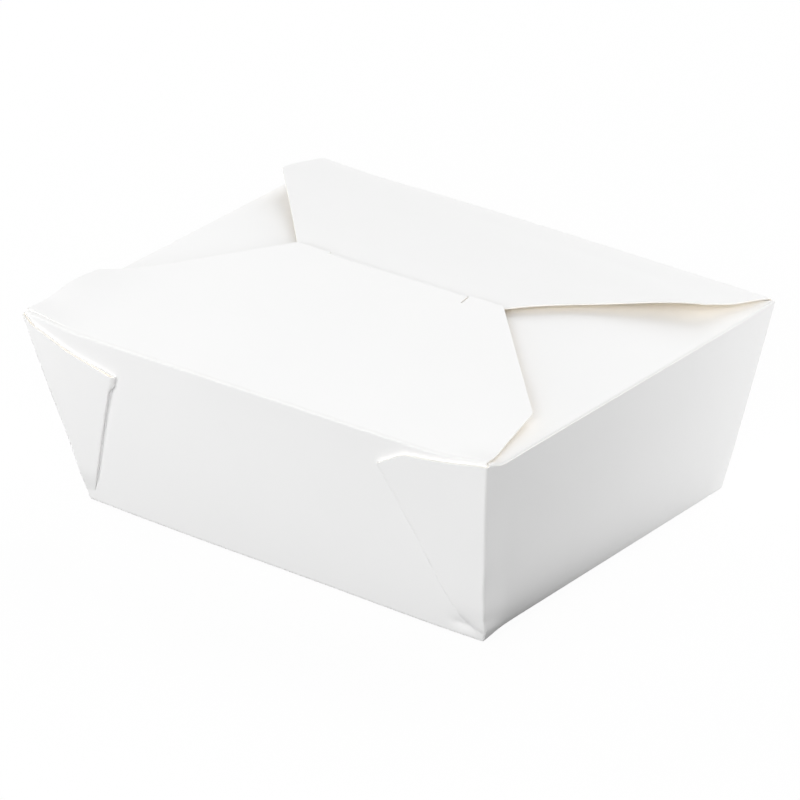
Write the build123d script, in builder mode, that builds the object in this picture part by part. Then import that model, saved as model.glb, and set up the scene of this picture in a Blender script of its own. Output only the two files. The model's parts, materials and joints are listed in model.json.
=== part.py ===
"""Folded paperboard take-out carton, closed.

One die-cut sheet makes the tray, its four corner gussets, the two end flaps and the back lid flap.
The front lid flap is the part of the sheet that opens first, so it is a body of its own on the front fold.
The origin is under the middle of the base, Z is up, and the front wall faces -Y.
"""
import math
import os

from build123d import *

os.makedirs("parts", exist_ok=True)

# Board and folds
board = 0.45                 # caliper of the paperboard
fold_radius = 0.75 * board   # outer radius of the crushed crease along each rim
base_bend = 0.9              # outer bend radius where the walls leave the base
corner_bend = 1.2            # outer bend radius down the tray's corners

# Tray, outside sizes
base_length = 152.0
base_width = 118.0
rim_length = 175.5
rim_width = 140.5
wall_height = 62.0

# Corner gussets: a web at each corner, pinched in two plies and glued flat on the long wall
ply_gap = 0.25               # air left between the two plies
gusset_top_drop = 0.9        # how far the cut edge starts below the rim at the corner
gusset_tip_drop = 11.3       # how far the fold's tip ends below the rim, along the wall
gusset_sag = 1.6             # bow of the cut edge between the corner and the tip
gusset_fold_margin = 0.5     # width of the folded edge that joins the plies
gusset_foot = 7.0            # height over which the stack grows from the base corner

# End flaps, folded in first
end_slope = 7.0              # rise of an end flap towards the middle, in degrees
end_length = 60.0
end_corner_relief = 4.25     # from the carton's corner to the flap's root
end_taper = 0.84             # how much each side draws in per length
end_tip_radius = 6.0

# Lid flaps, the same outline front and back
flap_corner_relief = 1.35    # from the carton's corner to the flap's root
flap_shoulder_inset = 6.05   # from the carton's end to the shoulder corner
flap_shoulder_share = 0.415  # shoulder corner's place along the flap
flap_diagonal = 1.02         # how much each side draws in per length past the shoulder
flap_past_middle = 0.15      # free edge beyond the carton's middle line
flap_corner_radius = 1.5
front_slope = 9.25           # rise of the front flap, in degrees
hinge_clearance = 0.2        # room between the front crease and the flap's root

# Tongue on the front flap and the slit that takes it
tongue_half_share = 0.675    # tongue's width as a share of the free edge
tongue_bend = 1.2            # bend radius of the tongue's middle surface
tongue_depth = 10.0          # how far the tongue reaches below the flap
tongue_tip_cut = 4.0         # corners cut off the tongue's tip
side_cut_width = 0.9         # cut on each side of the tongue
side_cut_length = 4.3
slit_clearance = 0.4
lip_clearance = 0.25         # room under the tongue's bend at the slit's front lip

# Back flap: heights over the rim at places along its length, left end and right end
lay_gap = 0.4                # room between the front flap and the back flap under it
back_bow = 0.89              # plan length of the bowed back flap up to its shoulder, as a share of its board
back_tail = 13.0             # how far the back flap runs on under the front flap
back_tail_taper = 0.94       # how much each side of that tail draws in per length
back_places = (0.88, 0.63, 0.48, 0.30)      # share of the half width, from the middle out
back_left_rise = (4.9, 9.5, 10.6, 11.3)
back_right_rise = (2.0, 6.9, 8.8, 9.6)

# Derived sizes
lean_long = math.atan((rim_width - base_width) / 2 / wall_height)
lean_end = math.atan((rim_length - base_length) / 2 / wall_height)
skin_long = board / math.cos(lean_long)
skin_end = board / math.cos(lean_end)
long_slant = wall_height / math.cos(lean_long)
end_slant = wall_height / math.cos(lean_end)
corner_lean = math.atan((rim_length - base_length) / 2 / long_slant)
end_corner_lean = math.atan((rim_width - base_width) / 2 / end_slant)
web_angle = (math.pi / 2 - corner_lean - end_corner_lean) / 2
stack = 2 * board + ply_gap
fold_long_y = rim_width / 2 - skin_long / 2
fold_end_x = rim_length / 2 - skin_end / 2
front_angle = math.radians(front_slope)
flap_root = fold_radius + hinge_clearance
flap_edge_reach = (fold_long_y + flap_past_middle) / math.cos(front_angle)
flap_shoulder_reach = flap_shoulder_share * flap_edge_reach
flap_root_half = rim_length / 2 - flap_corner_relief
flap_shoulder_half = rim_length / 2 - flap_shoulder_inset
flap_edge_half = flap_shoulder_half - (flap_edge_reach - flap_shoulder_reach) * flap_diagonal
tongue_half = tongue_half_share * flap_edge_half
tongue_root_reach = flap_edge_reach - tongue_bend
back_tail_half = flap_edge_half - back_tail * back_tail_taper
end_root_half = rim_width / 2 - end_corner_relief
end_tip_half = end_root_half - end_length * end_taper
tongue_front = tongue_root_reach + tongue_bend
tongue_swing = math.hypot(tongue_front, tongue_bend)

# Planes: the outside of the front wall, the hinge's section, and the two flap planes
front_wall_plane = Plane(
    origin=(0, -base_width / 2, 0),
    x_dir=(1, 0, 0),
    z_dir=(0, -math.cos(lean_long), -math.sin(lean_long)),
)
gusset_section = Plane(
    origin=(0, -base_width / 2, 0),
    x_dir=(0, -math.sin(lean_long), math.cos(lean_long)),
    z_dir=(1, 0, 0),
)
hinge_section = Plane(origin=(0, -fold_long_y, wall_height), x_dir=(0, 1, 0), z_dir=(1, 0, 0))
flap_section = Plane(
    origin=(0, -fold_long_y, wall_height),
    x_dir=(0, math.cos(front_angle), math.sin(front_angle)),
    z_dir=(1, 0, 0),
)
front_flap_plane = Plane(
    origin=(0, -fold_long_y, wall_height),
    x_dir=(1, 0, 0),
    z_dir=(0, -math.sin(front_angle), math.cos(front_angle)),
)
end_angle = math.radians(end_slope)
end_flap_plane = Plane(
    origin=(fold_end_x, 0, wall_height),
    x_dir=(-math.cos(end_angle), 0, math.sin(end_angle)),
    z_dir=(math.sin(end_angle), 0, math.cos(end_angle)),
)


def front_height(y):
    """Height of the front flap's middle surface over the rim at a place across the carton."""
    return (y + fold_long_y) * math.tan(front_angle)


def back_line(rises):
    """Middle line of the back flap at one end, as points from the fold to the free edge."""
    drop = (board + lay_gap) / math.cos(front_angle)
    points = [(fold_long_y, 0.0)]
    for share, rise in zip(back_places, rises):
        points.append((fold_long_y * share, rise))
    for y in (0.0, -back_tail / 2, -back_tail - 1.0):
        points.append((y, front_height(y) - drop))
    return points


def offset_line(points, amount):
    """The same line moved sideways by an amount, with each point moved along its normal."""
    moved = []
    last = len(points) - 1
    for i, (y, z) in enumerate(points):
        y0, z0 = points[max(i - 1, 0)]
        y1, z1 = points[min(i + 1, last)]
        length = math.hypot(y1 - y0, z1 - z0)
        moved.append((y + (z1 - z0) / length * amount, z - (y1 - y0) / length * amount))
    return moved


# Tray: base and four leaning walls of one board's thickness
with BuildPart() as tray:
    with BuildSketch(Plane.XY):
        RectangleRounded(base_length, base_width, corner_bend)
    with BuildSketch(Plane.XY.offset(wall_height)):
        RectangleRounded(rim_length, rim_width, corner_bend)
    loft()
    fillet(tray.faces().sort_by(Axis.Z)[0].edges(), radius=base_bend)
    with BuildSketch(Plane.XY.offset(board)):
        RectangleRounded(
            base_length + 2 * board * math.tan(lean_end) - 2 * skin_end,
            base_width + 2 * board * math.tan(lean_long) - 2 * skin_long,
            corner_bend - board,
        )
    with BuildSketch(Plane.XY.offset(wall_height)):
        RectangleRounded(rim_length - 2 * skin_end, rim_width - 2 * skin_long, corner_bend - board)
    loft(mode=Mode.SUBTRACT)

# One corner gusset, on the front wall at the right
apex = (base_length / 2, 0.0)
fold_lean = web_angle - corner_lean
tip_height = long_slant - gusset_tip_drop
top_height = long_slant - gusset_top_drop
tip = (base_length / 2 - tip_height * math.tan(fold_lean), tip_height)
top = (base_length / 2 + top_height * math.tan(corner_lean), top_height)
sag_point = ((tip[0] + top[0]) / 2, (tip[1] + top[1]) / 2 + gusset_sag)
with BuildPart() as gusset:
    with BuildSketch(front_wall_plane.offset(-board / 2)):
        with BuildLine():
            Polyline(tip, apex, top)
            ThreePointArc(top, sag_point, tip)
        make_face()
    extrude(amount=stack + board / 2)
    outer_face = gusset.faces().sort_by(Axis.Y)[0]
    long_edges = outer_face.edges().filter_by(GeomType.LINE)
    fillet(long_edges, radius=board)
    with BuildSketch(front_wall_plane.offset(board)):
        with BuildLine():
            Polyline(
                (tip[0] + gusset_fold_margin / math.cos(fold_lean), tip[1] + 2 * gusset_sag),
                (apex[0] - gusset_fold_margin, 3 * gusset_fold_margin / math.tan(web_angle)),
                (top[0] - 2 * gusset_fold_margin, top[1] + 2 * gusset_sag),
                close=True,
            )
        make_face()
    extrude(amount=ply_gap, mode=Mode.SUBTRACT)
    with BuildSketch(gusset_section):
        with BuildLine():
            Polyline(
                (-gusset_foot, 0),
                (0, 0),
                (gusset_foot, stack),
                (gusset_foot, 2 * stack),
                (-gusset_foot, 2 * stack),
                close=True,
            )
        make_face()
    extrude(amount=rim_length, both=True, mode=Mode.SUBTRACT)

# Back lid flap: a bowed sheet between its two end lines, cut to outline, with the slit
back_left = back_line(back_left_rise)
back_right = back_line(back_right_rise)
flap_far = rim_length / 2 + board
back_shoulder_y = fold_long_y - flap_shoulder_reach * back_bow
bend_inside = tongue_bend - board / 2
lip_angle = math.acos(1 - (lay_gap - lip_clearance) / bend_inside)
lip_reach = tongue_root_reach + bend_inside * math.sin(lip_angle)
slit_near = lip_reach * math.cos(front_angle) - fold_long_y
slit_height = front_height(0) - board - lay_gap
slit_far = math.sqrt((tongue_swing + board / 2 + slit_clearance) ** 2 - slit_height**2) - fold_long_y
slit_half = tongue_half + slit_clearance
with BuildPart() as back_flap:
    with BuildSketch(Plane(origin=(-flap_far, 0, wall_height), x_dir=(0, 1, 0), z_dir=(1, 0, 0))):
        with BuildLine():
            left_top = Spline(*offset_line(back_left, board / 2))
            left_low = Spline(*offset_line(back_left, -board / 2))
            Line(left_top @ 0, left_low @ 0)
            Line(left_top @ 1, left_low @ 1)
        make_face()
    with BuildSketch(Plane(origin=(flap_far, 0, wall_height), x_dir=(0, 1, 0), z_dir=(1, 0, 0))):
        with BuildLine():
            right_top = Spline(*offset_line(back_right, board / 2))
            right_low = Spline(*offset_line(back_right, -board / 2))
            Line(right_top @ 0, right_low @ 0)
            Line(right_top @ 1, right_low @ 1)
        make_face()
    loft()
    with BuildSketch(Plane.XY.offset(wall_height - 2 * board)):
        with BuildLine():
            Polyline(
                (-flap_root_half, fold_long_y + board),
                (-flap_root_half, fold_long_y),
                (-flap_shoulder_half, back_shoulder_y),
                (-flap_edge_half, 0),
                (-back_tail_half, -back_tail),
                (back_tail_half, -back_tail),
                (flap_edge_half, 0),
                (flap_shoulder_half, back_shoulder_y),
                (flap_root_half, fold_long_y),
                (flap_root_half, fold_long_y + board),
                close=True,
            )
        make_face()
    extrude(amount=wall_height / 2, mode=Mode.INTERSECT)
    with BuildSketch(Plane.XY.offset(wall_height)):
        with Locations((0, slit_near)):
            Rectangle(2 * slit_half, slit_far - slit_near, align=(Align.CENTER, Align.MIN))
    extrude(amount=wall_height / 2, mode=Mode.SUBTRACT)

# One end flap, at the right
with BuildPart() as end_flap:
    with BuildSketch(end_flap_plane):
        with BuildLine():
            Polyline(
                (0, -end_root_half),
                (end_length, -end_tip_half),
                (end_length, end_tip_half),
                (0, end_root_half),
                close=True,
            )
        make_face()
        fillet(vertices().group_by(Axis.X)[-1], radius=end_tip_radius)
    extrude(amount=board / 2, both=True)

# Creases along the rims
with BuildPart() as creases:
    with BuildSketch(hinge_section):
        Circle(fold_radius)
        with Locations((2 * fold_long_y, 0)):
            Circle(fold_radius)
    extrude(amount=flap_root_half, both=True)
    with BuildSketch(Plane(origin=(0, 0, wall_height), x_dir=(1, 0, 0), z_dir=(0, 1, 0))):
        with Locations((-fold_end_x, 0), (fold_end_x, 0)):
            Circle(fold_radius)
    extrude(amount=end_root_half, both=True)

# The folded sheet, all but the front flap
with BuildPart() as carton:
    add(tray.part)
    add(gusset.part)
    add(mirror(gusset.part, about=Plane.YZ))
    add(mirror(gusset.part, about=Plane.XZ))
    add(mirror(mirror(gusset.part, about=Plane.YZ), about=Plane.XZ))
    add(creases.part)
    add(end_flap.part)
    add(mirror(end_flap.part, about=Plane.YZ))
    add(back_flap.part)

# Front lid flap with its tongue, which bends down into the slit and clears it as the flap swings
cut_half = tongue_half + side_cut_width
cut_reach = flap_edge_reach - side_cut_length
tongue_foot = math.sqrt(tongue_swing**2 - tongue_depth**2)
with BuildPart() as front_flap:
    with BuildSketch(flap_section):
        with BuildLine():
            outer_bend = CenterArc((tongue_root_reach, -tongue_bend), tongue_bend + board / 2, 90, -90)
            inner_bend = CenterArc((tongue_root_reach, -tongue_bend), tongue_bend - board / 2, 90, -90)
            outer_side = Line(outer_bend @ 1, (tongue_foot + board / 2, -tongue_depth))
            inner_side = Line(inner_bend @ 1, (tongue_foot - board / 2, -tongue_depth))
            Line(outer_bend @ 0, inner_bend @ 0)
            Line(outer_side @ 1, inner_side @ 1)
        make_face()
    extrude(amount=tongue_half, both=True)
    tip_face = front_flap.faces().sort_by(Axis.Z)[0]
    chamfer(tip_face.edges().filter_by(lambda e: e.length < 2 * board), length=tongue_tip_cut)
    with BuildSketch(front_flap_plane.offset(-board / 2)):
        with BuildLine():
            Polyline(
                (-flap_root_half, flap_root),
                (-flap_shoulder_half, flap_shoulder_reach),
                (-flap_edge_half, flap_edge_reach),
                (-cut_half, flap_edge_reach),
                (-cut_half, cut_reach),
                (-tongue_half, cut_reach),
                (-tongue_half, tongue_root_reach),
                (tongue_half, tongue_root_reach),
                (tongue_half, cut_reach),
                (cut_half, cut_reach),
                (cut_half, flap_edge_reach),
                (flap_edge_half, flap_edge_reach),
                (flap_shoulder_half, flap_shoulder_reach),
                (flap_root_half, flap_root),
                close=True,
            )
        make_face()
        far_corners = vertices().filter_by(lambda v: abs(v.X) > cut_half + board and v.Y > flap_root + board)
        fillet(far_corners, radius=flap_corner_radius)
    extrude(amount=board)

carton.part.label = "carton"
front_flap.part.label = "front_flap"
export_step(carton.part, "parts/carton.step")
export_step(front_flap.part, "parts/front_flap.step")
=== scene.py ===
"""Dresses the folded paperboard take-out carton: one creased sheet, its hinged front flap and their crease.

Shapes are worked out in millimetres in the carton's own frame: the origin lies under the middle of the base,
Z is up and the front wall faces -Y. Meshes are written in metres.
"""
import json
import logging
import math
from dataclasses import dataclass, field
from enum import Enum, IntEnum

import bpy
import numpy as np
from mathutils import Matrix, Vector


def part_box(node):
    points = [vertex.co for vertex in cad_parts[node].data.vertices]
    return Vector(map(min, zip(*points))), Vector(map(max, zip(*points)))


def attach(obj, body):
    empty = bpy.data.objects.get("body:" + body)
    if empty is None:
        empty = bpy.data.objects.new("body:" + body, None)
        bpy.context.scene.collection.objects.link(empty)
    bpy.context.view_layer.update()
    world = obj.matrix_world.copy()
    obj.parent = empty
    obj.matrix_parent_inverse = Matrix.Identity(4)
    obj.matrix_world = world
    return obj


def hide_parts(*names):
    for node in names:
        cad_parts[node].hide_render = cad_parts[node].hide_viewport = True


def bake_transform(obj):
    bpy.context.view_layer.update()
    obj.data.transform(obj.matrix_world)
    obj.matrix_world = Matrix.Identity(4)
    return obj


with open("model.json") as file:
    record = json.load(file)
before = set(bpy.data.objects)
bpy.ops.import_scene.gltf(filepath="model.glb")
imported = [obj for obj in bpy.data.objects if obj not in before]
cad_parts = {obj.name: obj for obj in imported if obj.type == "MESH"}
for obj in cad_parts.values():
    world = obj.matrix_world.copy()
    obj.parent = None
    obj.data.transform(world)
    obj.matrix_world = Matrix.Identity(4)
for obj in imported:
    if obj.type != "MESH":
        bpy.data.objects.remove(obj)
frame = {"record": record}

MILLIMETRE = 0.001
CREASE_STEPS = 8  # steps across the rounded fold of a flap
TINY = 1e-6  # slack for comparing places, in millimetres
NO_LENGTH = 1e-12  # keeps a vector of no length from dividing by nought
RIM = np.ones(1)  # place of the rim's crease along a wall's section
LOG = logging.getLogger("carton")


class Side(Enum):
    """Which skin of the board a face belongs to; the value is its material slot."""

    COATED = 0
    INSIDE = 1
    CUT = 2


class Corner(Enum):
    """The carton's four corners, as the signs of X and Y."""

    FRONT_LEFT = (-1, -1)
    FRONT_RIGHT = (1, -1)
    BACK_LEFT = (-1, 1)
    BACK_RIGHT = (1, 1)


class Leg(IntEnum):
    """The runs of a gusset's section, in order from the long wall to the end wall."""

    EDGE_FOLD = 0
    INNER_PLY = 1
    WEB_FOLD = 2
    OUTER_PLY = 3
    CORNER_BEND = 4


def ease(t: np.ndarray) -> np.ndarray:
    """Smooth step: 3t^2 - 2t^3 with t held between 0 and 1."""
    t = np.clip(t, 0.0, 1.0)
    return t * t * (3.0 - 2.0 * t)


def unit(vectors: np.ndarray) -> np.ndarray:
    """The vectors at a length of one; a vector of no length stays nought."""
    return vectors / (np.linalg.norm(vectors, axis=-1, keepdims=True) + NO_LENGTH)


def grid(x: np.ndarray | float, y: np.ndarray | float, z: np.ndarray | float) -> np.ndarray:
    """Points from three coordinates that are spread over one shape."""
    return np.stack(np.broadcast_arrays(x, y, z), axis=-1)


def mirrored(half: np.ndarray) -> np.ndarray:
    """Places on both sides of nought, from those on the right, which start at nought."""
    return np.concatenate([-half[:0:-1], half])


def half_wave(count: int) -> np.ndarray:
    """Column of half a sine wave: nought at both ends and one in the middle."""
    return np.sin(np.linspace(0.0, math.pi, count))[:, None]


def stations(*runs: tuple[float, float, int]) -> np.ndarray:
    """Places along a line, made of runs that share their ends.

    Args:
        runs: (start, end, steps) of each run, where a run starts where the last one ended.

    Returns:
        All the places in order, with each shared end once.
    """
    parts = [np.linspace(start, end, steps + 1)[1:] for start, end, steps in runs]
    return np.concatenate([[runs[0][0]], *parts])


def natural_spline(knots: np.ndarray, heights: np.ndarray, at: np.ndarray) -> np.ndarray:
    """Cubic through the knots whose second derivative is nought at both ends.

    The second derivatives m solve h0*m0 + 2(h0+h1)*m1 + h1*m2 = 6(slope1 - slope0) at each inner knot.

    Args:
        knots: Places of the knots, rising.
        heights: Height at each knot.
        at: Places to work out.

    Returns:
        The height at each place.
    """
    step = np.diff(knots)
    slope = np.diff(heights) / step
    system = np.diag(np.concatenate([[1.0], 2.0 * (step[:-1] + step[1:]), [1.0]]))
    system += np.diag(np.concatenate([step[:-1], [0.0]]), -1)
    system += np.diag(np.concatenate([[0.0], step[1:]]), 1)
    bend = np.linalg.solve(system, np.concatenate([[0.0], 6.0 * np.diff(slope), [0.0]]))
    i = np.clip(np.searchsorted(knots, at) - 1, 0, len(step) - 1)
    a = (knots[i + 1] - at) / step[i]
    b = (at - knots[i]) / step[i]
    curl = ((a**3 - a) * bend[i] + (b**3 - b) * bend[i + 1]) * step[i] ** 2 / 6.0
    return a * heights[i] + b * heights[i + 1] + curl


def crease_rows(start: np.ndarray, fold: np.ndarray, end: np.ndarray, steps: int) -> np.ndarray:
    """Rounded fold: the quadratic curve (1-t)^2 start + 2t(1-t) fold + t^2 end at each column.

    Args:
        start: Points where the fold leaves one panel, one for each column.
        fold: Points of the sharp fold line.
        end: Points where the fold meets the other panel.
        steps: Number of steps across the fold.

    Returns:
        Rows of points, the first at start and the last at end.
    """
    t = np.linspace(0.0, 1.0, steps + 1)[:, None, None]
    return (1.0 - t) ** 2 * start + 2.0 * t * (1.0 - t) * fold + t**2 * end


def creased_flap(start: np.ndarray, fold: np.ndarray, flap: np.ndarray) -> tuple[np.ndarray, np.ndarray]:
    """A flap with the rounded fold that joins it to its wall.

    Args:
        start: Points where the fold leaves the wall, one for each column.
        fold: Points of the sharp fold line.
        flap: Grid of the flap, whose first row is where the fold ends.

    Returns:
        Grid of both, and how creased the board is at each point: half a wave across the fold.
    """
    points = np.concatenate([crease_rows(start, fold, flap[0], CREASE_STEPS)[:-1], flap])
    # Weights for the fold colour across the fold: crease wear and painted shade.
    crease_wear_and_shade = np.zeros(points.shape[:2])
    crease_wear_and_shade[: CREASE_STEPS + 1] = half_wave(CREASE_STEPS + 1)
    return points, crease_wear_and_shade


def rounded_half(
    along: np.ndarray, root_half: float, draw: float, length: float, radius: float
) -> np.ndarray:
    """Half width of a tapering flap whose far corners are arcs.

    The side is root_half - draw*s; past the tangent point the half width is that of a circle that touches
    both the side and the far edge.

    Args:
        along: Places along the flap.
        root_half: Half width at the root.
        draw: How much the side draws in per length.
        length: Length of the flap.
        radius: Radius of the far corners.

    Returns:
        The half width at each place.
    """
    stretch = math.hypot(1.0, draw)
    centre = length - radius
    centre_half = root_half - draw * centre - radius * stretch
    tangent = centre + radius * draw / stretch
    reach = np.clip(radius**2 - (along - centre) ** 2, 0.0, None)
    return np.where(along > tangent, centre_half + np.sqrt(reach), root_half - draw * along)


def grid_cells(index: np.ndarray) -> np.ndarray:
    """Cells of four neighbours in a grid of indices, rows by columns by 4."""
    return np.stack([index[:-1, :-1], index[1:, :-1], index[1:, 1:], index[:-1, 1:]], axis=-1)


def new_mesh(name: str, vertices: np.ndarray, cells: np.ndarray) -> bpy.types.Mesh:
    """Mesh of cells of four points, where a cell that repeats a point becomes a triangle.

    Args:
        name: Name of the mesh.
        vertices: Points in metres.
        cells: Four indices a row.

    Returns:
        The mesh.
    """
    kept = cells != np.roll(cells, 1, axis=1)
    corners = kept.sum(axis=1)
    mesh = bpy.data.meshes.new(name)
    mesh.vertices.add(len(vertices))
    mesh.loops.add(int(corners.sum()))
    mesh.polygons.add(len(cells))
    mesh.vertices.foreach_set("co", vertices.reshape(-1).astype(np.float32))
    mesh.loops.foreach_set("vertex_index", cells[kept].astype(np.int32))
    mesh.polygons.foreach_set("loop_start", (np.cumsum(corners) - corners).astype(np.int32))
    mesh.update(calc_edges=True)
    return mesh


def standing(right: np.ndarray, up: np.ndarray, back: np.ndarray, place: np.ndarray) -> Matrix:
    """Matrix of a camera or lamp, from its three axes and its place in metres."""
    return Matrix([*np.stack([right, up, back, place], axis=1).tolist(), [0.0, 0.0, 0.0, 1.0]])


def put_in_scene(name: str, data: bpy.types.ID, matrix: Matrix | None = None) -> bpy.types.Object:
    """Makes an object and links it to the scene.

    Args:
        name: Name of the object.
        data: Its mesh, lamp or camera.
        matrix: Where it stands, or nothing for the origin.

    Returns:
        The object.
    """
    made = bpy.data.objects.new(name, data)
    if matrix is not None:
        made.matrix_world = matrix
    bpy.context.scene.collection.objects.link(made)
    return made


def feed(tree: bpy.types.NodeTree, node: bpy.types.Node, inputs: dict[str | int, object]) -> None:
    """Sets or joins the inputs of a node.

    Args:
        tree: The node tree.
        node: The node.
        inputs: What each input takes, by name or number: a plain value, or the socket that it is joined to.
    """
    for key, value in inputs.items():
        if isinstance(value, bpy.types.NodeSocket):
            tree.links.new(value, node.inputs[key])
        else:
            node.inputs[key].default_value = value


def add_node(
    tree: bpy.types.NodeTree, kind: str, inputs: dict[str | int, object], **options: str
) -> bpy.types.bpy_prop_collection:
    """Adds a shader node.

    Args:
        tree: The node tree.
        kind: Kind of node, without the word ShaderNode.
        inputs: What each of its inputs takes.
        options: The node's own options.

    Returns:
        The node's outputs.
    """
    node = tree.nodes.new("ShaderNode" + kind)
    for name, value in options.items():
        setattr(node, name, value)
    feed(tree, node, inputs)
    return node.outputs


@dataclass(frozen=True)
class BoardFinish:
    """Procedural finish of one skin of the paperboard.

    Attributes:
        name: Material name.
        colour: Plain colour of the skin, linear.
        fold_colour: Colour at creases and folds, linear; on the coated skin a darker grey, partly wear and
            partly painted shade.
        roughness: Middle roughness.
        specular: Specular level of the skin.
        mottle: How far the colour drifts over a few centimetres, as a share.
        grain_size: Size of the fibre grain in millimetres.
        grain_depth: Depth of the fibre grain in millimetres.
        grain_strength: Strength of the grain's bump.
        grain_detail: Detail and roughness of the grain's noise.
        fibre_scale: Scales of the grain along X, Y and Z, where a low one draws the fibres out.
        cloud: Scale and detail of the mottle's noise.
        gloss_drift: How far the roughness drifts with the mottle.
    """

    name: str
    colour: tuple[float, float, float]
    fold_colour: tuple[float, float, float]
    roughness: float = 0.6
    specular: float = 0.3
    mottle: float = 0.012
    grain_size: float = 0.35
    grain_depth: float = 0.012
    grain_strength: float = 0.5
    grain_detail: tuple[float, float] = (4.0, 0.6)
    fibre_scale: tuple[float, float, float] = (0.45, 1.0, 1.0)
    cloud: tuple[float, float] = (38.0, 3.0)
    gloss_drift: float = 0.06

    def tint(self, drift: float) -> tuple[float, float, float, float]:
        """The plain colour, brighter by a share."""
        return (*(channel * (1.0 + drift) for channel in self.colour), 1.0)

    def material(self) -> bpy.types.Material:
        """Builds the material from object coordinates and the sheet's own fold attribute.

        Returns:
            The finished material.
        """
        made = bpy.data.materials.new(self.name)
        made.use_nodes = True
        tree = made.node_tree
        place = add_node(tree, "TexCoord", {})["Object"]
        scale, detail = self.cloud
        cloud = add_node(tree, "TexNoise", {"Vector": place, "Scale": scale, "Detail": detail})["Fac"]
        ends = {"A": self.tint(-self.mottle), "B": self.tint(self.mottle)}
        plain = add_node(tree, "Mix", {"Factor": cloud, **ends}, data_type="RGBA")["Result"]
        # Painted shade and wear: the fold attribute mixes in the fold colour, which darkens the coated
        # skin's creases.
        fold = add_node(tree, "Attribute", {}, attribute_name="fold")["Fac"]
        ends = {"A": plain, "B": (*self.fold_colour, 1.0)}
        crease_wear_and_shade = add_node(tree, "Mix", {"Factor": fold, **ends}, data_type="RGBA")["Result"]

        fibres = add_node(tree, "Mapping", {"Vector": place, "Scale": self.fibre_scale})["Vector"]
        detail, rough = self.grain_detail
        noise = {"Scale": 1.0 / (self.grain_size * MILLIMETRE), "Detail": detail, "Roughness": rough}
        grain = add_node(tree, "TexNoise", {"Vector": fibres, **noise})["Fac"]
        relief = {"Strength": self.grain_strength, "Distance": self.grain_depth * MILLIMETRE}
        bump = add_node(tree, "Bump", {"Height": grain, **relief})["Normal"]

        ends = {"To Min": self.roughness - self.gloss_drift, "To Max": self.roughness + self.gloss_drift}
        gloss = add_node(tree, "MapRange", {"Value": cloud, **ends})["Result"]
        skin = {"Base Color": crease_wear_and_shade, "Roughness": gloss, "Normal": bump, "Specular IOR Level": self.specular}
        feed(tree, tree.nodes["Principled BSDF"], skin)
        return made


@dataclass
class BoardFinishes:
    """The three skins of the board, in slot order.

    Attributes:
        coated: The white coated outside.
        inside: The uncoated inside.
        cut: The cut edges.
        made: The materials, once they are built.
    """

    # The coated skin's fold colour is a darker grey: partly crease wear, partly painted shade in the folds.
    coated: BoardFinish = BoardFinish("coated_white", (0.95, 0.95, 0.948), (0.89, 0.888, 0.88), 0.7, 0.08)
    inside: BoardFinish = BoardFinish("inside_cream", (0.955, 0.895, 0.79), (0.95, 0.895, 0.8), 0.7, 0.2)
    cut: BoardFinish = BoardFinish(
        "cut_edge", (0.95, 0.94, 0.91), (0.95, 0.94, 0.91), 0.85, 0.1, 0.03, 0.12, 0.03
    )
    made: list[bpy.types.Material] = field(default_factory=list)

    def materials(self) -> list[bpy.types.Material]:
        """The three materials in the order of Side, built on first use."""
        if not self.made:
            self.made = [finish.material() for finish in (self.coated, self.inside, self.cut)]
        return self.made


@dataclass(frozen=True)
class Dent:
    """A soft push left by folding: push * exp(-(dx/rx)^2 - (dy/ry)^2 - (dz/rz)^2) about a centre.

    Attributes:
        centre: Middle of the dent, in millimetres.
        push: How far the board moves there.
        reach: The three distances rx, ry and rz over which the push dies away.
    """

    centre: tuple[float, float, float]
    push: tuple[float, float, float]
    reach: tuple[float, float, float]

    def moved(self, points: np.ndarray) -> np.ndarray:
        """The points, one a row in millimetres, after the push."""
        away = (points - np.array(self.centre)) / np.array(self.reach)
        return points + np.exp(-(away**2).sum(axis=1))[:, None] * np.array(self.push)


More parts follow.
